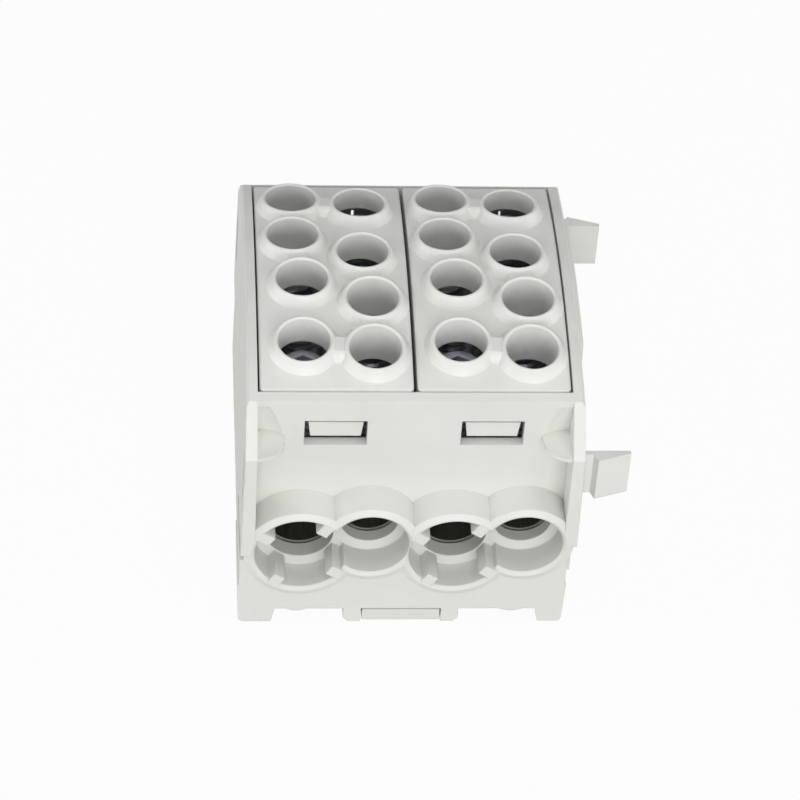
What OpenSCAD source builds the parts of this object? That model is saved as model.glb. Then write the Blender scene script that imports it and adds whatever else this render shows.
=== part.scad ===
// Two-pole power distribution block for a 35 mm top-hat rail.
// Millimetres. Origin: centre of the face that seats on the rail.
// X runs along the rail, Y from the front entries to the back ones, Z away from the rail.
// Every end feature is made once, for the front, and turned half a turn for the back.

/* [Housing] */
// Distance between the centres of the two poles
pole_pitch = 25; // [24.5:0.5:31]
// Depth over the wire entries, front to back
body_depth = 66; // [60:1:80]
// Height of the arch that the collars' rims follow, above the rail seat
arch_height = 43.5; // [42:0.5:54]
// Drop of the arched top from its middle to the covers' ends
arch_drop = 3.05; // [1.5:0.05:5]
// Thickness of the side walls at the top
side_wall = 1.75; // [1.6:0.05:3]
// Growth of each side wall from the top down to the rail seat
side_draft = 0.65; // [0:0.05:1]
// Thickness of the wall between the two chambers
middle_wall = 1.6; // [1.2:0.1:2.4]
// Depth of the front and back recesses, from the entry plane
recess_depth = 6; // [4:0.25:8]
// Height at which the side walls' ends start to lean inwards
lean_z = 30.8; // [29:0.2:34]
// Run of the flat rim between cover and leaning edge at the front
rim_front = 2; // [1:0.1:2]
// The same at the back
rim_back = 0.5; // [0.4:0.05:2]
// Thickness of the floor under the terminal bars
floor_t = 2.5; // [2:0.1:4]
// Thickness of the end wall between chamber and recess
end_wall = 2.3; // [2.1:0.1:3.5]

/* [Feet and rail] */
// Depth of the feet below the rail seat
foot_drop = 6.5; // [5.5:0.1:7.2]
// Depth of the front panel's lower edge below the rail seat
panel_drop = 3.5; // [2.8:0.1:3.6]
// Width of the rail
rail_w = 35; // [35:0.1:35.4]
// Thickness of the rail's lip
rail_lip = 1; // [1:0.1:1.2]
// Reach of each hook under the rail's lip
hook_reach = 2.2; // [1.5:0.1:3]
// Width of the sliding latch
latch_w = 12.8; // [10:0.1:15]
// How far the latch pulls out to free the rail
latch_travel = 3; // [2.4:0.1:3.4]

/* [Large wire entries] */
// Sideways place from the pole's centre
large_x = -5.05; // [-5.4:0.05:-4.7]
// Height above the rail seat
large_z = 9.3; // [8.8:0.1:10]
// Radius of the ribbed mouth
large_mouth_r = 7.5; // [6.8:0.05:7.8]
// Radius of the plastic bore behind the mouth
large_bore_r = 5.5; // [5.1:0.05:5.8]
// Radius of the wire's bore in the terminal bar
large_wire_r = 5; // [4:0.1:5.1]
// Wall of the collar round the mouth
large_collar_t = 1.75; // [1.2:0.05:2]

/* [Small wire entries] */
// Sideways place from the pole's centre
small_x = 6.25; // [5.9:0.05:6.5]
// Height above the rail seat
small_z = 11.5; // [11:0.1:12.5]
// Radius of the plain mouth
small_mouth_r = 6.25; // [5.6:0.05:6.5]
// Radius of the plastic bore behind the mouth
small_bore_r = 4.75; // [4.4:0.05:5]
// Radius of the wire's bore in the terminal bar
small_wire_r = 4.3; // [3.4:0.1:4.4]
// Wall of the collar round the mouth
small_collar_t = 1.75; // [1.2:0.05:2]

/* [Covers and screws] */
// Thickness of a cover's plate
plate_t = 2.2; // [1.8:0.1:3]
// Height of the collars above the plate
collar_h = 1.8; // [1.4:0.1:2.4]
// Radius of the screwdriver holes
driver_r = 4.2; // [4.1:0.05:4.4]
// Width of a collar's rim
rim_w = 0.75; // [0.6:0.05:0.9]
// Height above the rail seat of the ledge that a cover's skirt stands on
ledge_z = 26.5; // [24:0.5:27.5]
// Radius over the thread of a clamping screw
screw_r = 3.85; // [3:0.05:3.85]
// Distance from the cover's end to the outer screw of a large entry
large_screw_inset = 8.15; // [7.6:0.05:9]
// Distance between the two screws of a large entry
large_screw_pitch = 13.5; // [12:0.1:14]
// Distance from the cover's end to the outer screw of a small entry
small_screw_inset = 6.8; // [6.6:0.05:8]
// Distance between the two screws of a small entry
small_screw_pitch = 10.5; // [10.3:0.1:11]

/* [Snap barbs] */
// Height of a barb's lower edge above the rail seat
barb_z = 19.5; // [19:0.1:20]
// Height of a barb
barb_h = 8.5; // [6:0.1:8.8]
// Length of a barb beyond the side wall
barb_l = 8.2; // [6:0.1:9]

/* [Clearances] */
// Gap round a cover's sides
cover_gap = 0.3; // [0.2:0.05:0.4]
// Gap at a cover's ends
cover_end_gap = 0.25; // [0.1:0.05:0.3]
// Gap between a terminal bar and its chamber
bar_gap = 0.2; // [0.1:0.05:0.3]
// Radial gap between screw and bar
thread_gap = 0.15; // [0.1:0.05:0.2]
// Gap round the sliding latch
slide_gap = 0.2; // [0.15:0.05:0.3]
// Gap between hook and rail lip
lip_gap = 0.3; // [0.2:0.05:0.4]

/* [Hidden] */
SIDES = ["left", "right"];
SCREWS_PER_POLE = 8;

// Length by which a cut runs past the face that it opens
past = 1;
// Width of the small chamfers on moulded edges
edge = 0.5;

// Housing
front_y = body_depth / 2;
recess_y = front_y - recess_depth;
chamber_y = recess_y - end_wall;
half_inner = pole_pitch;
half_w = half_inner + side_wall;
chamber_half = (pole_pitch - middle_wall) / 2;
cover_half_l = recess_y - 2;
pocket_y = cover_half_l + cover_end_gap;
arch_r = (cover_half_l * cover_half_l + arch_drop * arch_drop) / (2 * arch_drop);
arch_axis_z = arch_height - arch_r;
plate_low = collar_h + plate_t;
top_z = arch_height - collar_h;
top_edge = 0.4;

// Base: as wide as the drafted wall on one side of each end and narrower on the other
base_out = half_w + side_draft;
base_step = 0.75;
base_in = half_w - base_step;
base_top = 8;
panel_set = 0.5;
panel_y = front_y - panel_set;
rail_gap = 0.2;
rail_y = rail_w / 2 + rail_gap;
hook_y = rail_w / 2 - hook_reach;
hook_z = -rail_lip - lip_gap;
hook_land = 1.3;
hook_rise = 1.6;
foot_out_w = 5.4;
foot_in_w = 3.9;
foot_slope = 0.6;
foot_round = 0.8;
foot_swell = 0.25;
foot_top = 2.3;
core_w = 4.2;
core_wall = 2.3;
core_top = 0.5;
nib_h = 0.5;
nib_l = 5;
nib_out_w = 3;
nib_in_w = 4.2;
nib_inset = 9.5;
nib_shift = 1;

// Rail latch and the legs that guide it
latch_x = -0.6;
leg_w = 2.9;
leg_half = latch_w / 2 + slide_gap;
latch_bottom = -foot_drop + 0.4;
latch_top = -panel_drop - slide_gap;
latch_nose_l = 5.6;
tongue_w = 1;
tongue_h = 1.2;
tongue_z = (latch_bottom + latch_top) / 2;
tongue_back = rail_y + 1.5;
groove_front = panel_y - 1.2;
tongue_front = groove_front - latch_travel - slide_gap;
grip_w = 5.2;
grip_l = 1.6;

// Large and small entries: [x, z, mouth radius, bore radius, wire radius, collar radius]
LARGE = [large_x, large_z, large_mouth_r, large_bore_r, large_wire_r, large_mouth_r + large_collar_t];
SMALL = [small_x, small_z, small_mouth_r, small_bore_r, small_wire_r, small_mouth_r + small_collar_t];
mouth_depth = 5.5;
shoulder_depth = 0.6;
collar_slope = 1;
rib_count = 4;
rib_w = 2;
rib_reach = large_mouth_r - large_bore_r - 0.2;
rib_turn = 56;

// Terminal bars
bar_half_w = chamber_half - bar_gap;
bar_half_l = chamber_y - bar_gap;
bar_roof = 6;
bar_top = small_z + small_wire_r + bar_roof;
bore_run = 0.8;

// Clamping screws
large_sink = 7;
small_sink = 9.5;
tip_gap = 0.4;
hex_r = 2.6;
hex_depth = 4;
screw_chamfer = 0.8;
head_chamfer = 0.4;

// Covers: round each hole a skirted collar above and a tube below
cover_half_w = pole_pitch / 2 - cover_gap;
cover_round = 0.8;
cover_edge = 0.3;
skirt_t = 1;
skirt_end = 4.3;
rim_r = driver_r + rim_w;
tube_t = 0.9;
collar_foot_r = rim_r + 1.05;
tube_r = driver_r + tube_t;
tube_over = 1.3;
web_w = 3.8;
web_sink = 0.35;

// Latch tongues of the covers and the windows they snap into
window_half_w = 5;
window_low = arch_height - 14.9;
window_high = arch_height - 9.7;
tongue_half_w = 4.4;
tongue_taper = 0.5;
tongue_t = 1.1;
nose_reach = 1.55;
nose_top = window_high - 0.6;
nose_low = window_low + 1.6;
nose_end = window_low + 0.5;

// Quarter-round shelves in the recesses' corners
shelf_r = 4.4;
shelf_t = 1.2;
shelf_z = lean_z + 0.3;
shelf_dish = 0.35;
shelf_lip = 0.6;

// Leaning hollows in the end walls above the shelves
hollow_r = 7;
hollow_depth = 1.2;
hollow_lean = 10.5;
hollow_top = window_high + 3;

// Snap barbs, and the slots that take a neighbour's
barb_y = recess_y + 0.65;
barb_neck_l = 2.2;
barb_neck_t = 0.85;
barb_head_t = 2.35;
barb_tip_t = 0.6;
barb_catch = 0.6;
slot_gap = 0.3;
slot_relief = 0.9;

// Coupling pad on the right wall
pad_half_l = 15.2;
pad_t = 0.6;
pad_z = 12;

SHELL = [0.87, 0.88, 0.865];
METAL = [0.72, 0.73, 0.74];
ROUND = 96;
FINE = 48;
ARCH = 300;

// Screws of one pole's front half, as [entry, y]. The back half is the same turned half a turn.
function screw_row(entry, inset, pitch) =
    [[entry, inset - cover_half_l], [entry, inset + pitch - cover_half_l]];
SCREWS = concat(
    screw_row(LARGE, large_screw_inset, large_screw_pitch),
    screw_row(SMALL, small_screw_inset, small_screw_pitch)
);
function screw_top(entry) = arch_height - (entry == LARGE ? large_sink : small_sink);
function tube_end(entry) = screw_top(entry) + tube_over;
// Height of the arched surface that lies drop under the collars' rims
function arch_z(y, drop) = arch_axis_z + sqrt(pow(arch_r - drop, 2) - y * y);

module both_ends() {
    children();
    rotate([0, 0, 180]) children();
}

module at_pole(side) {
    translate([side * pole_pitch / 2, 0, 0]) children();
}

module each_pole() {
    for (side = [-1, 1]) at_pole(side) children();
}

// A box given by its two opposite corners
module span(low, high) {
    translate(low) cube(high - low);
}

// A YZ outline drawn out along X, from x to x + w
module along_x(x, w) {
    translate([x, 0, 0]) rotate([90, 0, 90]) linear_extrude(w) children();
}

// An XZ outline drawn out along Y, from y to y + l
module along_y(y, l) {
    translate([0, y + l, 0]) rotate([90, 0, 0]) linear_extrude(l) children();
}

// The round body under the arched surface, its side edges chamfered and wider below them
module arch_drum(drop, half, chamfer) {
    r = arch_r - drop;
    reach = 2 * past;
    translate([0, 0, arch_axis_z])
        rotate([0, 90, 0])
            rotate([0, 0, 90])
                rotate_extrude($fn = ARCH)
                    polygon([
                        [0, -half - reach], [r - chamfer - reach, -half - reach], [r, chamfer - half],
                        [r, half - chamfer], [r - chamfer - reach, half + reach], [0, half + reach]
                    ]);
}

// The block between its drafted side faces, each moved out by extra
module drafted(extra) {
    along_y(-front_y, body_depth)
        polygon([
            [-half_w - side_draft - extra, 0], [-half_w - extra, top_z],
            [half_w + extra, top_z], [half_w + side_draft + extra, 0]
        ]);
}

module under_arch(drop) {
    intersection() {
        children();
        arch_drum(drop, 2 * half_w, edge);
    }
}

// Stands its children on the rims' arched surface over y, upright to it
module on_arch(x, y) {
    translate([x, y, arch_z(y, 0)]) rotate([-asin(y / arch_r), 0, 0]) children();
}

// A round bore or tube along an entry's axis, from depth a to depth b
module round_y(entry, r, a, b, r_end = 0) {
    translate([entry[0], a - front_y, entry[1]])
        rotate([-90, 0, 0])
            cylinder(r1 = r, r2 = r_end > 0 ? r_end : r, h = b - a, $fn = ROUND);
}

// ---------------------------------------------------------------- housing

// The block seen from the side and from the front, under its arched top
module outline() {
    front_top = -cover_half_l - rim_front;
    back_top = cover_half_l + rim_back;
    intersection() {
        along_x(-2 * half_w, 4 * half_w)
            polygon([
                [-front_y, 0], [-front_y, lean_z],
                [front_top, arch_z(front_top, collar_h)], [front_top, arch_height],
                [back_top, arch_height], [back_top, arch_z(back_top, collar_h)],
                [front_y, lean_z], [front_y, 0]
            ]);
        drafted(0);
        arch_drum(collar_h, half_w, top_edge);
    }
}

// Takes the space in front of one end wall, and the side walls' ends below the collars' middles
module recess_cut() {
    span([-half_inner, -front_y - past, -past], [half_inner, -recess_y, arch_height]);
    span([-2 * half_w, -front_y - past, -past], [0, -recess_y, large_z]);
    span([0, -front_y - past, -past], [2 * half_w, -recess_y, small_z]);
}

// The collar of one wire entry, its outer edge sloping down to the panel
module entry_collar(entry) {
    round_y(entry, entry[5] - collar_slope, 0, panel_set, entry[5]);
    round_y(entry, entry[5], panel_set, recess_depth + past);
}

module foot(outer, inner) {
    turn = sign(inner - outer);
    along_y(-panel_y, panel_y - rail_y)
        polygon([
            [outer, foot_top],
            [outer - turn * foot_swell, foot_top - foot_swell],
            [outer, -foot_drop + foot_round],
            [outer + turn * foot_round * 0.3, -foot_drop + foot_round * 0.3],
            [outer + turn * foot_round, -foot_drop],
            [inner, -foot_drop],
            [inner + turn * foot_slope, -panel_drop],
            [inner + turn * foot_slope, foot_top]
        ]);
}

// A low rounded nib under the panel's edge
module nib(x, w) {
    r = (w * w / 4 + nib_h * nib_h) / (2 * nib_h);
    translate([x, -panel_y + nib_l, r - nib_h - panel_drop])
        rotate([90, 0, 0])
            cylinder(r = r, h = nib_l, $fn = ROUND);
}

// Panel, feet, nibs and core-outs of one end
module base_end() {
    difference() {
        union() {
            span([-base_out, -panel_y, -panel_drop], [base_in, -rail_y, base_top]);
            foot(-base_out, -base_out + foot_out_w);
            foot(base_in, base_in - foot_in_w);
            intersection() {
                union() {
                    nib(nib_inset - base_out, nib_out_w);
                    nib(base_in - nib_inset + nib_shift, nib_in_w);
                }
                span([-base_out, -panel_y, -foot_drop], [base_in, -rail_y, 0]);
            }
        }
        for (x = [-leg_half - leg_w - core_w / 2, leg_half + leg_w + core_w / 2])
            span([latch_x + x - core_w / 2 + edge * sign(x), core_wall - panel_y, -foot_drop - past],
                 [latch_x + x + core_w / 2 + edge * sign(x), -core_wall - rail_y, core_top]);
    }
}

// Two legs that hold the sliding latch by its tongues
module guide_legs() {
    for (side = [-1, 1])
        difference() {
            translate([latch_x + side * leg_half, 0, 0])
                along_y(-panel_y, panel_y - rail_y)
                    polygon([
                        [0, past - panel_drop],
                        [0, -foot_drop],
                        [side * (leg_w - foot_round), -foot_drop],
                        [side * leg_w, foot_round - foot_drop],
                        [side * leg_w, past - panel_drop]
                    ]);
            translate([latch_x, 0, tongue_z])
                span([-leg_half - tongue_w - slide_gap, -groove_front, -tongue_h / 2 - slide_gap],
                     [leg_half + tongue_w + slide_gap, 0, tongue_h / 2 + slide_gap]);
        }
}

// The hook that stays: it reaches under the rail's lip at the back
module fixed_hook() {
    along_x(-latch_w, 2 * latch_w)
        polygon([
            [hook_y, hook_z], [hook_y, hook_z - hook_land],
            [hook_y + hook_rise, -foot_drop], [rail_y + hook_rise, -foot_drop],
            [rail_y + hook_rise, 0], [rail_y, 0], [rail_y, hook_z]
        ]);
}

module snap_barb() {
    translate([half_w, 0, barb_z])
        linear_extrude(barb_h)
            polygon([
                [-past, -barb_y],
                [-past, -barb_y - barb_neck_t],
                [barb_neck_l, -barb_y - barb_neck_t],
                [barb_neck_l + barb_catch, -barb_y - barb_head_t],
                [barb_l, -barb_y - barb_tip_t],
                [barb_l, -barb_y]
            ]);
}

module coupling_pad() {
    intersection() {
        span([half_w - past, -pad_half_l, pad_z], [2 * half_w, pad_half_l, top_z]);
        drafted(pad_t);
        arch_drum(collar_h + top_edge, half_w + pad_t, top_edge);
    }
}

// Ribbed mouth and stepped bore of a large entry
module large_entry_cut() {
    round_y(LARGE, large_mouth_r + edge, -past, 0);
    round_y(LARGE, large_bore_r, -past, front_y - chamber_y + past);
    difference() {
        union() {
            round_y(LARGE, large_mouth_r + edge, 0, edge, large_mouth_r);
            round_y(LARGE, large_mouth_r, edge, mouth_depth);
        }
        translate([large_x, -front_y, large_z])
            for (i = [0:rib_count - 1])
                rotate([0, -rib_turn - i * 360 / rib_count, 0])
                    span([large_mouth_r - rib_reach, 0, -rib_w / 2],
                         [large_mouth_r + past, mouth_depth, rib_w / 2]);
    }
}

// Plain mouth of a small entry, with a coned shoulder
module small_entry_cut() {
    round_y(SMALL, small_mouth_r + edge, -past, 0);
    round_y(SMALL, small_mouth_r + edge, 0, edge, small_mouth_r);
    round_y(SMALL, small_mouth_r, edge, mouth_depth);
    round_y(SMALL, small_mouth_r, mouth_depth, mouth_depth + shoulder_depth, small_bore_r);
    round_y(SMALL, small_bore_r, mouth_depth, front_y - chamber_y + past);
}

// Window for a cover's tongue
module window_cut() {
    span([-window_half_w, -recess_y - past, window_low], [window_half_w, -pocket_y + past, window_high]);
}

// A dished quarter-round shelf between end wall and side wall
module shelf(side) {
    dish_z = shelf_t - shelf_dish;
    intersection() {
        translate([side * half_inner, -recess_y - past, shelf_z - shelf_t])
            union() {
                rotate_extrude($fn = ROUND)
                    polygon([
                        [0, 0], [shelf_r, 0], [shelf_r, dish_z], [shelf_r - shelf_dish, shelf_t],
                        [shelf_r - shelf_lip, shelf_t], [shelf_lip, dish_z], [0, dish_z]
                    ]);
                span([-shelf_r, 0, 0], [shelf_r, 2 * past, dish_z]);
            }
        span([-half_inner - edge, -front_y, 0], [half_inner + edge, edge - recess_y, arch_height]);
    }
}

// A round hollow that deepens from the rim down to the shelf
module hollow_cut(side) {
    intersection() {
        translate([side * half_inner, hollow_depth - recess_y - hollow_r, shelf_z])
            rotate([hollow_lean, 0, 0])
                cylinder(r = hollow_r, h = 3 * hollow_r, center = true, $fn = ROUND);
        span([-half_inner, -front_y - past, shelf_z - shelf_dish], [half_inner, 0, hollow_top]);
    }
}

// Slots in the left wall that take a neighbour's barbs, relieved inside for the barbs' catches
module barb_slots() {
    low = barb_z - slot_gap;
    high = barb_z + barb_h + slot_gap;
    for (end = [0, 1])
        mirror([0, end, 0]) {
            span([-2 * half_w, -barb_y - barb_head_t - slot_gap, low], [-half_inner + past, slot_gap - barb_y, high]);
            span([-half_inner - slot_relief, -front_y + past, low], [-half_inner + past, slot_gap - barb_y, high]);
        }
}

// Room for the latch's nose, pulled out or not
module latch_cut() {
    span([latch_x - leg_half, -rail_y - latch_nose_l - latch_travel - slide_gap, -foot_drop - past],
         [latch_x + leg_half, -rail_y + past, -rail_lip]);
}

module housing() {
    color(SHELL)
        difference() {
            union() {
                difference() {
                    outline();
                    both_ends() recess_cut();
                }
                both_ends() {
                    each_pole() {
                        entry_collar(LARGE);
                        entry_collar(SMALL);
                    }
                    base_end();
                    shelf(-1);
                    shelf(1);
                }
                guide_legs();
                fixed_hook();
                snap_barb();
                mirror([0, 1, 0]) snap_barb();
                coupling_pad();
            }
            span([-half_inner, -pocket_y, ledge_z], [half_inner, pocket_y, arch_height + past]);
            each_pole()
                span([-chamber_half, -chamber_y, floor_t], [chamber_half, chamber_y, arch_height]);
            both_ends()
                each_pole() {
                    large_entry_cut();
                    small_entry_cut();
                    window_cut();
                }
            both_ends() {
                hollow_cut(-1);
                hollow_cut(1);
            }
            barb_slots();
            latch_cut();
        }
}

// ---------------------------------------------------------------- covers

// A prism with rounded corners, set in from a cover's outline, from low upwards
module cover_prism(inset, low) {
    half = cover_half_w - inset;
    half_l = cover_half_l - inset;
    translate([0, 0, low])
        linear_extrude(arch_height - low + past) {
            square([2 * half, 2 * (half_l - cover_round)], center = true);
            square([2 * (half - cover_round), 2 * half_l], center = true);
            for (x = [-1, 1], y = [-1, 1])
                translate([x * (half - cover_round), y * (half_l - cover_round)])
                    circle(r = cover_round, $fn = FINE);
        }
}

// The arched plate and its skirt, which stands on the ledges and is cut short at the ends
module cover_shell() {
    end_z = arch_z(cover_half_l, collar_h);
    difference() {
        intersection() {
            cover_prism(0, ledge_z);
            arch_drum(collar_h, cover_half_w, cover_edge);
            along_x(-pole_pitch, 2 * pole_pitch)
                polygon([
                    [-cover_half_l, 0], [-cover_half_l, end_z - cover_edge],
                    [cover_edge - cover_half_l, end_z], [cover_edge - cover_half_l, arch_height],
                    [cover_half_l - cover_edge, arch_height], [cover_half_l - cover_edge, end_z],
                    [cover_half_l, end_z - cover_edge], [cover_half_l, 0]
                ]);
        }
        intersection() {
            cover_prism(skirt_t, 0);
            arch_drum(plate_low, pole_pitch, edge);
        }
        both_ends()
            span([-pole_pitch, -cover_half_l - past, 0],
                 [pole_pitch, skirt_t - cover_half_l, end_z - skirt_end]);
    }
}

// Collar above the plate: rounded rim, upright wall and a foot that flares into the plate
module collar() {
    foot_r = collar_foot_r - rim_r;
    rotate_extrude($fn = ROUND)
        polygon([
            [0, -collar_h - edge],
            [collar_foot_r, -collar_h - edge / 2],
            [rim_r + foot_r * 0.5, -collar_h * 0.76],
            [rim_r + foot_r * 0.2, -collar_h * 0.48],
            [rim_r, -collar_h * 0.2],
            [rim_r - rim_w * 0.15, -collar_h * 0.06],
            [rim_r - rim_w * 0.45, 0],
            [0, 0]
        ]);
}

// A bridge between two collars, with sides that flare into the plate
module web(from, to) {
    run = to - from;
    mid = (from + to) / 2;
    flare = collar_foot_r - rim_r;
    on_arch(mid[0], mid[1])
        rotate([0, 0, atan2(run[1], run[0])])
            along_x(-norm(run) / 2, norm(run))
                polygon([
                    [-web_w / 2 - flare, -collar_h - edge / 2],
                    [-web_w / 2 - flare / 2, -collar_h * 0.8],
                    [-web_w / 2, -web_sink - edge / 2],
                    [-web_w / 2 + edge, -web_sink],
                    [web_w / 2 - edge, -web_sink],
                    [web_w / 2, -web_sink - edge / 2],
                    [web_w / 2 + flare / 2, -collar_h * 0.8],
                    [web_w / 2 + flare, -collar_h - edge / 2]
                ]);
}

function place(i) = [SCREWS[i][0][0], SCREWS[i][1]];

// The springy tongue at a cover's end, with the nose that snaps into the window
module cover_tongue() {
    root_z = arch_z(cover_half_l, plate_low) + edge;
    intersection() {
        along_x(-tongue_half_w, 2 * tongue_half_w)
            polygon([
                [-cover_half_l, root_z], [-cover_half_l, nose_top],
                [-cover_half_l - nose_reach, nose_top], [-cover_half_l - nose_reach, nose_low],
                [-cover_half_l, nose_end], [tongue_t - cover_half_l, nose_end],
                [tongue_t - cover_half_l, root_z]
            ]);
        along_y(-front_y, front_y)
            polygon([
                [-tongue_half_w, arch_height], [-tongue_half_w, nose_top],
                [tongue_taper - tongue_half_w, nose_end], [tongue_half_w - tongue_taper, nose_end],
                [tongue_half_w, nose_top], [tongue_half_w, arch_height]
            ]);
    }
}

module driver_hole(x, y) {
    translate([x, y, 0]) cylinder(r = driver_r, h = 2 * arch_height, $fn = ROUND);
    on_arch(x, y)
        translate([0, 0, -edge])
            cylinder(r1 = driver_r - edge / 2, r2 = driver_r + edge, h = 1.5 * edge, $fn = ROUND);
}

module cover(side) {
    color(SHELL)
        at_pole(side)
            difference() {
                union() {
                    cover_shell();
                    intersection() {
                        cover_prism(0, ledge_z);
                        both_ends() {
                            for (screw = SCREWS) on_arch(screw[0][0], screw[1]) collar();
                            web(place(0), place(2));
                            web(place(2), place(3));
                            web(place(3), -place(1));
                        }
                    }
                    under_arch(plate_low - edge)
                        both_ends()
                            for (screw = SCREWS)
                                translate([screw[0][0], screw[1], tube_end(screw[0])])
                                    cylinder(r = tube_r, h = arch_height, $fn = ROUND);
                    both_ends() cover_tongue();
                }
                both_ends()
                    for (screw = SCREWS) driver_hole(screw[0][0], screw[1]);
            }
}

// ---------------------------------------------------------------- metal parts

module terminal_bar(side) {
    color(METAL)
        at_pole(side)
            difference() {
                span([-bar_half_w, -bar_half_l, floor_t], [bar_half_w, bar_half_l, bar_top]);
                both_ends()
                    for (i = [0, 2]) {
                        entry = SCREWS[i][0];
                        round_y(entry, entry[4], 0, front_y + SCREWS[i + 1][1] + screw_r + bore_run);
                        for (j = [i, i + 1])
                            translate([entry[0], SCREWS[j][1], entry[1]])
                                cylinder(r = screw_r + thread_gap, h = arch_height, $fn = ROUND);
                    }
            }
}

// Screws 1 to 4 stand over the front entries and 5 to 8 over the back ones, backed out of the bores
module clamp_screw(side, i) {
    entry = SCREWS[i % 4][0];
    tip_z = entry[1] + entry[4] + tip_gap;
    len = screw_top(entry) - tip_z;
    color(METAL)
        at_pole(side)
            rotate([0, 0, i < 4 ? 0 : 180])
                translate([entry[0], SCREWS[i % 4][1], tip_z])
                    difference() {
                        rotate_extrude($fn = ROUND)
                            polygon([
                                [0, 0], [screw_r - screw_chamfer, 0], [screw_r, screw_chamfer],
                                [screw_r, len - head_chamfer], [screw_r - head_chamfer, len], [0, len]
                            ]);
                        translate([0, 0, len - hex_depth])
                            cylinder(r = hex_r, h = hex_depth + past, $fn = 6);
                    }
}

// ---------------------------------------------------------------- rail latch

// The sliding latch: a bar with a grip hole in front, tongues at its sides and a hook at its end
module rail_latch() {
    nose_y = -rail_y - latch_nose_l;
    color(SHELL)
        translate([latch_x, 0, 0])
            difference() {
                union() {
                    along_x(-latch_w / 2, latch_w)
                        polygon([
                            [-panel_y, latch_bottom], [-panel_y, latch_top],
                            [nose_y, latch_top], [nose_y, hook_z],
                            [-hook_y, hook_z], [-hook_y, hook_z - hook_land],
                            [-hook_y - hook_rise, latch_bottom]
                        ]);
                    translate([0, 0, tongue_z])
                        span([-latch_w / 2 - tongue_w, -tongue_front, -tongue_h / 2],
                             [latch_w / 2 + tongue_w, -tongue_back, tongue_h / 2]);
                }
                span([-grip_w / 2, core_wall - panel_y, latch_bottom - past],
                     [grip_w / 2, core_wall + grip_l - panel_y, latch_top + past]);
            }
}

housing();
cover(-1);  // cover_left
cover(1);  // cover_right
terminal_bar(-1);  // terminal_bar_left
terminal_bar(1);  // terminal_bar_right
rail_latch();
for (s = [0, 1], i = [1:SCREWS_PER_POLE])
    clamp_screw(2 * s - 1, i - 1);
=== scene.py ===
# %% [markdown]
# # A two-pole power distribution block
# The block is a moulded plastic shell that snaps on a mounting rail. Two nickel-plated bars lie inside it,
# and screws reached through the arched covers clamp the wires that come in at both ends.
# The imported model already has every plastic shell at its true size. This script gives each one its finish,
# swaps the plain screws for threaded ones, and sets the block on a pale table in soft light.

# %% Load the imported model
import math

import bmesh
import bpy
from mathutils import Matrix, Vector


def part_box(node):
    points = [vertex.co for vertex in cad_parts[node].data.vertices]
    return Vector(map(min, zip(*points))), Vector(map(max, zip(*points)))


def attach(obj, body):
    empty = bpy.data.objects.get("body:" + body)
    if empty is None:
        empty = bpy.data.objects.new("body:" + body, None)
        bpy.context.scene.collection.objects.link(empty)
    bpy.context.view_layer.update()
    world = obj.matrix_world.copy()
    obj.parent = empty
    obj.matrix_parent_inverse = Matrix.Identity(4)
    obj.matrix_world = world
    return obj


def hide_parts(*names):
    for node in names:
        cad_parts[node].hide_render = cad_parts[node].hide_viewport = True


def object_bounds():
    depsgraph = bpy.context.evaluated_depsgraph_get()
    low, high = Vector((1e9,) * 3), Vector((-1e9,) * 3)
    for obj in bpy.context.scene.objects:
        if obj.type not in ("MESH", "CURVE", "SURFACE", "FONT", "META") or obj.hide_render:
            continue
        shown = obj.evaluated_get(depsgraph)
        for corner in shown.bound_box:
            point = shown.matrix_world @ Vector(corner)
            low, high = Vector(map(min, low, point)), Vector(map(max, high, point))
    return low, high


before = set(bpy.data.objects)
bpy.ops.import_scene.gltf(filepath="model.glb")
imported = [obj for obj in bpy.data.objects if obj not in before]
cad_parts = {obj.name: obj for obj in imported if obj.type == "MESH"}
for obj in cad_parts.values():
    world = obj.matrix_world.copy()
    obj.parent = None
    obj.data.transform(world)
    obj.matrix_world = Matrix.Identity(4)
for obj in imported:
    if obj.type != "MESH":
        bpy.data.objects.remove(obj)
CAD_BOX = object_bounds()
MM = 0.001

# %% [markdown]
# ## Colours and nodes
# Finishes are easier to compare when they are written as the hex values that a paint card gives.
# A shader works in linear light, so one function turns a hex value into linear red, green and blue.
# A second small function adds one shader node with its settings and its links. Every material below
# is made with it, so a material reads from top to bottom as a list of nodes.


# %% Colour and node helpers
def linear(hex_colour):
    values = [int(hex_colour[i:i + 2], 16) / 255 for i in (0, 2, 4)]
    return [v / 12.92 if v <= 0.04045 else ((v + 0.055) / 1.055) ** 2.4 for v in values] + [1.0]


def add(tree, kind, settings=None, **sockets):
    """Adds one node. A socket's value is a number, a colour or another node's output."""
    node = tree.nodes.new(kind)
    for key, value in (settings or {}).items():
        setattr(node, key, value)
    for name, value in sockets.items():
        socket = node.inputs[name.replace("_", " ")]
        if isinstance(value, bpy.types.NodeSocket):
            tree.links.new(value, socket)
        else:
            socket.default_value = value
    return node


def new_material(name):
    """An empty material with an output node, and its tree."""
    material = bpy.data.materials.new(name)
    material.use_nodes = True
    material.node_tree.nodes.clear()
    output = material.node_tree.nodes.new("ShaderNodeOutputMaterial")
    return material, material.node_tree, output


print("light grey in linear light:", [round(v, 3) for v in linear("DFE0DC")])

# %% [markdown]
# ## Moulded polyamide
# Housing, covers and rail latch are moulded from light grey glass-filled polyamide. The tool's steel is spark
# eroded, which leaves a satin skin: tiny pits about a quarter of a millimetre apart. Glass fibres drift
# in the melt, so the grey wanders by a hair over ten millimetres or so. Real moulded edges are never knife sharp,
# and a Bevel node rounds how light falls on them without touching the mesh.
# The pits are too shallow to move the outline, so they are bump and not displacement.

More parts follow.
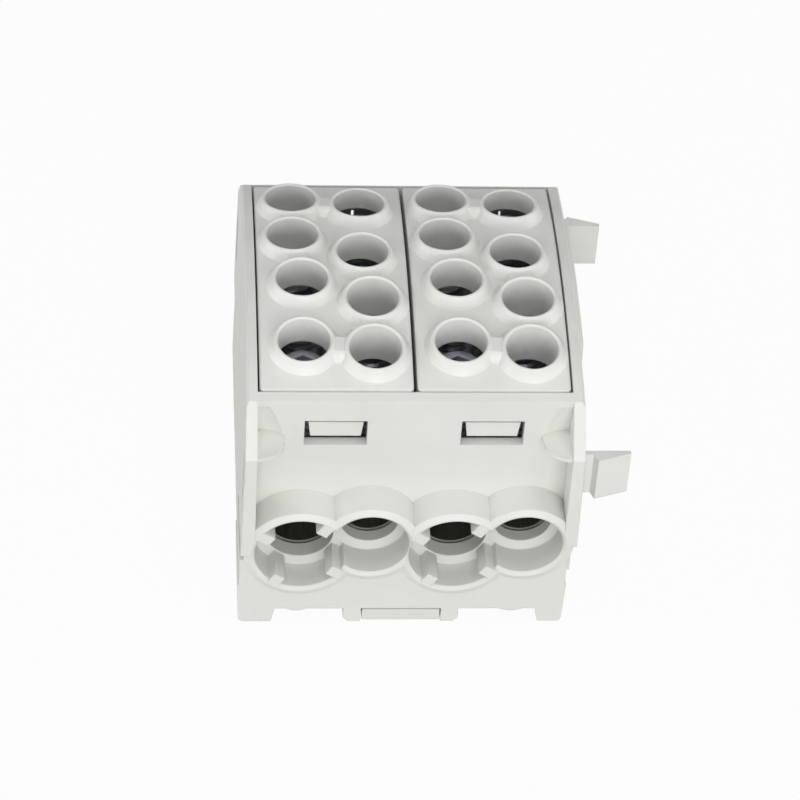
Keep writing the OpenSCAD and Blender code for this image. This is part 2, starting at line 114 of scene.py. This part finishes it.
# %% Polyamide material
PIT_PITCH = 0.25 * MM      # distance between the pits of the tool's skin
FLOW_PITCH = 11 * MM       # distance over which the melt's grey wanders
EDGE_ROUND = 0.22 * MM     # radius of the moulded edges
PIT_DEPTH = 0.02 * MM      # depth of the pits
PIT_SHARE = 0.12           # how much of that depth the light is let see
SHEEN_SWING = 0.06         # change of roughness between a pit and the skin round it


def moulded_polyamide(name, pale, deep, roughness):
    material, tree, output = new_material(name)
    place = add(tree, "ShaderNodeTexCoord").outputs["Object"]
    flow = add(tree, "ShaderNodeTexNoise", Vector=place, Scale=1 / FLOW_PITCH, Detail=3.0, Roughness=0.55)
    grey = add(tree, "ShaderNodeValToRGB", Fac=flow.outputs["Fac"])
    grey.color_ramp.elements[0].position = 0.3
    grey.color_ramp.elements[0].color = linear(deep)
    grey.color_ramp.elements[1].position = 0.7
    grey.color_ramp.elements[1].color = linear(pale)
    pits = add(tree, "ShaderNodeTexVoronoi", {"feature": "SMOOTH_F1"}, Vector=place, Scale=1 / PIT_PITCH)
    sheen = add(tree, "ShaderNodeMapRange", Value=pits.outputs["Distance"])
    sheen.inputs["To Min"].default_value = roughness - SHEEN_SWING
    sheen.inputs["To Max"].default_value = roughness + SHEEN_SWING
    soft = add(tree, "ShaderNodeBevel", {"samples": 4}, Radius=EDGE_ROUND)
    skin = add(tree, "ShaderNodeBump", Height=pits.outputs["Distance"], Strength=PIT_SHARE,
               Distance=PIT_DEPTH, Normal=soft.outputs["Normal"])
    shader = add(tree, "ShaderNodeBsdfPrincipled", Base_Color=grey.outputs["Color"],
                 Roughness=sheen.outputs["Result"], Normal=skin.outputs["Normal"], IOR=1.53)
    tree.links.new(shader.outputs["BSDF"], output.inputs["Surface"])
    return material


HOUSING_PLASTIC = moulded_polyamide("moulded_polyamide_housing", "E1E2DE", "DDDED9", 0.52)
COVER_PLASTIC = moulded_polyamide("moulded_polyamide_cover", "E4E5E1", "E0E1DD", 0.48)
LATCH_PLASTIC = moulded_polyamide("moulded_polyamide_latch", "DFE0DB", "DADBD6", 0.55)
print("plastic finishes:", HOUSING_PLASTIC.name, COVER_PLASTIC.name, LATCH_PLASTIC.name)

# %% [markdown]
# ## Plated metals
# The terminal bars are drawn brass with a nickel skin: warm grey, satin, with faint lines along the drawing
# direction, which is front to back. The clamping screws are turned steel with a clear zinc skin, cooler and
# a little cloudy. A metal's colour is its base colour, and its polish is its roughness.

# %% Metal materials
LINE_PITCH = 0.12 * MM     # distance between drawing lines on the bar
LINE_LENGTH = 9 * MM       # length over which one line fades
CLOUD_PITCH = 1.6 * MM     # size of the cloudy patches in the zinc
POLISH_SWING = 0.08        # change of roughness along the grain
GRAIN_DEPTH = 0.01 * MM    # depth of lines and clouds


def plated(name, pale, deep, roughness, pitch, stretch, bump):
    """A metal whose tone, polish and height follow one stretched noise."""
    material, tree, output = new_material(name)
    place = add(tree, "ShaderNodeTexCoord").outputs["Object"]
    along = add(tree, "ShaderNodeMapping", Vector=place, Scale=stretch)
    grain = add(tree, "ShaderNodeTexNoise", Vector=along.outputs["Vector"], Scale=1 / pitch, Detail=4.0)
    tone = add(tree, "ShaderNodeValToRGB", Fac=grain.outputs["Fac"])
    tone.color_ramp.elements[0].position = 0.32
    tone.color_ramp.elements[0].color = linear(deep)
    tone.color_ramp.elements[1].position = 0.68
    tone.color_ramp.elements[1].color = linear(pale)
    polish = add(tree, "ShaderNodeMapRange", Value=grain.outputs["Fac"])
    polish.inputs["To Min"].default_value = roughness - POLISH_SWING
    polish.inputs["To Max"].default_value = roughness + POLISH_SWING
    lines = add(tree, "ShaderNodeBump", Height=grain.outputs["Fac"], Strength=bump, Distance=GRAIN_DEPTH)
    shader = add(tree, "ShaderNodeBsdfPrincipled", Base_Color=tone.outputs["Color"], Metallic=1.0,
                 Roughness=polish.outputs["Result"], Normal=lines.outputs["Normal"])
    tree.links.new(shader.outputs["BSDF"], output.inputs["Surface"])
    return material


NICKEL = plated("nickel_plated_brass", "CBC9C3", "B2B0AA", 0.34, LINE_PITCH,
                (1.0, LINE_PITCH / LINE_LENGTH, 1.0), 0.25)
ZINC = plated("zinc_plated_steel", "C9CDD2", "AEB3B9", 0.42, CLOUD_PITCH, (1.0, 1.0, 1.0), 0.10)
print("metal finishes:", NICKEL.name, ZINC.name)

# %% [markdown]
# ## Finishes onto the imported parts
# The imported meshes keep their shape. Only the material in their slots is changed.

# %% Assign the finishes
FINISHES = {
    "housing": HOUSING_PLASTIC, "cover_left": COVER_PLASTIC, "cover_right": COVER_PLASTIC,
    "rail_latch": LATCH_PLASTIC, "terminal_bar_left": NICKEL, "terminal_bar_right": NICKEL,
}
for name, material in FINISHES.items():
    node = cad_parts[name]
    if not node.material_slots:
        node.data.materials.append(material)
    for slot in node.material_slots:
        slot.material = material
print("finished parts:", ", ".join(sorted(FINISHES)))

# %% [markdown]
# ## Clamping screws
# Each screw is a headless steel set screw: a chamfered tip, a thread cut up its whole length, and a hexagon
# socket in its flat top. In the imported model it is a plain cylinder, because only its size matters there.
# Here the body is spun from a half profile, the socket is a hexagon loop carried down and bridged to
# the round top, and the thread is one small triangle spun upwards, so that it climbs by a pitch each turn.

# %% Screw sizes
SOCKET_R = 2.6 * MM        # centre to corner of the hexagon socket
SOCKET_DEPTH = 4.0 * MM
SOCKET_LEAD = 0.3 * MM     # chamfer at the socket's mouth
THREAD_PITCH = 1.25 * MM
THREAD_DEPTH = 0.45 * MM
TIP_CHAMFER = 0.8 * MM
TIP_SETBACK = 0.2 * MM     # how much narrower the tip's flat is than its chamfer leaves it
THREAD_SINK = 0.1 * MM     # depth to which the thread's ridge is rooted in the body
HALF_RIDGE = 0.42          # half of the ridge's foot, as a share of the pitch
HEAD_TURNS = 1.5           # plain turns left under the top
TOP_CHAMFER = 0.4 * MM
SEGMENTS = 48


# %% Helpers for round work
def spun(bm, profile):
    """Spins a half profile, given as (radius, height) pairs, once round Z."""
    verts = [bm.verts.new((r, 0, z)) for r, z in profile]
    edges = [bm.edges.new(pair) for pair in zip(verts, verts[1:])]
    bmesh.ops.spin(bm, geom=verts + edges, cent=(0, 0, 0), axis=(0, 0, 1), angle=math.tau,
                   steps=SEGMENTS, use_merge=True)


def ring(bm, radius, height, sides):
    """A loop of SEGMENTS points round a polygon of that many sides."""
    made = bmesh.ops.create_circle(bm, cap_ends=False, radius=radius, segments=sides,
                                   matrix=Matrix.Translation((0, 0, height)))
    edges = list({edge for vert in made["verts"] for edge in vert.link_edges})
    if sides < SEGMENTS:
        cut = bmesh.ops.subdivide_edges(bm, edges=edges, cuts=SEGMENTS // sides - 1)
        edges = list(set(edges) | {e for e in cut["geom_inner"] + cut["geom_split"]
                                   if isinstance(e, bmesh.types.BMEdge)})
    return edges


def bridge(bm, first, second):
    bmesh.ops.bridge_loops(bm, edges=first + second)


def climbing_thread(bm, root, crest, low, high):
    """A triangle spun upwards round Z, with its base sunk in the body."""
    half = THREAD_PITCH * HALF_RIDGE
    verts = [bm.verts.new((root - THREAD_SINK, 0, low - half)), bm.verts.new((crest, 0, low)),
             bm.verts.new((root - THREAD_SINK, 0, low + half))]
    face = bm.faces.new(verts)
    turns = (high - low) / THREAD_PITCH
    steps = int(turns * SEGMENTS / 2)
    bmesh.ops.spin(bm, geom=[face] + list(face.edges) + verts, cent=(0, 0, 0), axis=(0, 0, 1),
                   dvec=(0, 0, (high - low) / steps), angle=math.tau * turns, steps=steps, use_merge=False)


def to_object(bm, name, material):
    """Cleans the mesh, turns its faces outwards and links it as an object at the origin."""
    bmesh.ops.remove_doubles(bm, verts=bm.verts, dist=0.001 * MM)
    bmesh.ops.recalc_face_normals(bm, faces=bm.faces)
    mesh = bpy.data.meshes.new(name)
    bm.to_mesh(mesh)
    bm.free()
    mesh.materials.append(material)
    piece = bpy.data.objects.new(name, mesh)
    bpy.context.collection.objects.link(piece)
    return piece


# %% One threaded screw
def threaded_screw(name, node):
    low, high = (Vector(corner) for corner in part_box(node))
    centre = (low + high) / 2
    radius = (high.x - low.x) / 2
    length = high.z - low.z
    root = radius - THREAD_DEPTH
    bm = bmesh.new()
    spun(bm, [
        (0, 0), (radius - TIP_CHAMFER - TIP_SETBACK, 0), (root, TIP_CHAMFER),
        (root, length - HEAD_TURNS * THREAD_PITCH), (radius, length - THREAD_PITCH),
        (radius, length - TOP_CHAMFER), (radius - TOP_CHAMFER, length),
    ])
    top = ring(bm, radius - TOP_CHAMFER, length, SEGMENTS)
    mouth = ring(bm, SOCKET_R + SOCKET_LEAD, length, 6)
    throat = ring(bm, SOCKET_R, length - SOCKET_LEAD, 6)
    floor = ring(bm, SOCKET_R, length - SOCKET_DEPTH, 6)
    bridge(bm, top, mouth)
    bridge(bm, mouth, throat)
    bridge(bm, throat, floor)
    bmesh.ops.holes_fill(bm, edges=floor, sides=0)
    climbing_thread(bm, root, radius, TIP_CHAMFER + THREAD_PITCH / 2, length - HEAD_TURNS * THREAD_PITCH)
    bmesh.ops.translate(bm, verts=bm.verts, vec=(centre.x, centre.y, low.z))
    return to_object(bm, name, ZINC)


SCREWS = [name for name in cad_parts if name.startswith("clamp_screw")]
for node in sorted(SCREWS):
    screw = threaded_screw(node.replace("clamp_screw", "threaded_screw"), node)
    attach(screw, node.replace("clamp_", ""))
    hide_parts(node)
print("threaded screws:", len(SCREWS), "with", len(screw.data.polygons), "faces in the last one")

# %% [markdown]
# ## Table
# The block stands on its feet on a plain pale table. To the camera the table is nearly its own light, so that
# it reads as a white ground, and the rest of it is plain diffuse, which keeps the soft shadow under the feet.
# Mirror-like rays see the same ground, so the metal does too.

# %% Table
GROUND_GLOW = 0.96         # share of the table that the camera sees as plain white
FOOT_GAP = 0.02 * MM       # keeps the feet's flat undersides from flickering through the table


def pale_table():
    material, tree, output = new_material("white_table_paint")
    paths = add(tree, "ShaderNodeLightPath")
    seen = add(tree, "ShaderNodeMath", {"operation": "MAXIMUM"})
    tree.links.new(paths.outputs["Is Camera Ray"], seen.inputs[0])
    tree.links.new(paths.outputs["Is Glossy Ray"], seen.inputs[1])
    share = add(tree, "ShaderNodeMath", {"operation": "MULTIPLY"})
    tree.links.new(seen.outputs["Value"], share.inputs[0])
    share.inputs[1].default_value = GROUND_GLOW
    paint = add(tree, "ShaderNodeBsdfDiffuse", Color=linear("BEBEBC"))
    glow = add(tree, "ShaderNodeEmission", Color=(1, 1, 1, 1), Strength=1.0)
    mix = add(tree, "ShaderNodeMixShader", Fac=share.outputs["Value"])
    tree.links.new(paint.outputs["BSDF"], mix.inputs[1])
    tree.links.new(glow.outputs["Emission"], mix.inputs[2])
    tree.links.new(mix.outputs["Shader"], output.inputs["Surface"])
    return material


bm = bmesh.new()
bmesh.ops.create_grid(bm, x_segments=1, y_segments=1, size=1.5)
table_height = CAD_BOX[0][2] - FOOT_GAP
bmesh.ops.translate(bm, verts=bm.verts, vec=(0, 0, table_height))
table = to_object(bm, "table", pale_table())
print("table height in mm:", round(table_height / MM, 2))

# %% [markdown]
# ## Light
# A white studio: an even world fills every side and one broad lamp hangs overhead. A low lamp before the block
# lights its upright front without reaching into the screwdriver holes, which stay deep and grey, and a lamp at
# each side lifts the side walls and keeps the collars round.

# %% World and lamps
WORLD_STRENGTH = 0.21
LAMP_AIM = Vector((0, 0, 0.02))                  # the block's middle, in metres
# Each lamp's place in metres, its width in metres and its power in watts
LAMPS = {
    "overhead_lamp": ((0.05, -0.30, 1.0), 0.9, 4.7),
    "front_lamp": ((0.10, -1.05, 0.24), 0.7, 6.9),
    "left_lamp": ((-0.88, -0.12, 0.22), 0.6, 3.2),
    "right_lamp": ((0.88, -0.12, 0.22), 0.6, 2.2),
}

world = bpy.data.worlds.new("studio")
bpy.context.scene.world = world
world.use_nodes = True
world.node_tree.nodes["Background"].inputs["Color"].default_value = (1, 1, 1, 1)
world.node_tree.nodes["Background"].inputs["Strength"].default_value = WORLD_STRENGTH


def soft_lamp(name, place, size, watts):
    """A square lamp that faces the block."""
    light = bpy.data.lights.new(name, "AREA")
    light.size = size
    light.energy = watts
    lamp = bpy.data.objects.new(name, light)
    lamp.location = place
    lamp.rotation_euler = (LAMP_AIM - lamp.location).to_track_quat("-Z", "Y").to_euler()
    bpy.context.collection.objects.link(lamp)


for name, (place, size, watts) in LAMPS.items():
    soft_lamp(name, place, size, watts)

# %% [markdown]
# ## Camera
# A long lens some sixty centimetres away looks down on the block from the front. So far away, the block's
# upright edges converge only slightly. Three angles turn the camera, and its place is given apart from them.

# %% Camera
SENSOR = 36                                      # width of the sensor in millimetres
LENS = 158.514                                   # focal length in millimetres
PITCH = 0.754186                                 # radians below the horizon
TURN = -0.100098                                 # radians about Z
ROLL = 0.071484                                  # radians about the lens axis
EYE = Vector((-43.067, -429.337, 418.324)) * MM

forward = Vector((-math.sin(TURN) * math.cos(PITCH), math.cos(TURN) * math.cos(PITCH), -math.sin(PITCH)))
level = Vector((math.cos(TURN), math.sin(TURN), 0))
upright = level.cross(forward)
across = math.cos(ROLL) * level + math.sin(ROLL) * upright
above = -math.sin(ROLL) * level + math.cos(ROLL) * upright

lens = bpy.data.cameras.new("studio_camera")
lens.sensor_width = SENSOR
lens.lens = LENS
lens.clip_start = 0.01
camera = bpy.data.objects.new("studio_camera", lens)
bpy.context.collection.objects.link(camera)
camera.matrix_world = Matrix((
    (across.x, above.x, -forward.x, EYE.x),
    (across.y, above.y, -forward.y, EYE.y),
    (across.z, above.z, -forward.z, EYE.z),
    (0, 0, 0, 1),
))
bpy.context.scene.camera = camera
bpy.context.scene.view_settings.view_transform = "Standard"
print("camera distance in mm:", round(EYE.length / MM))
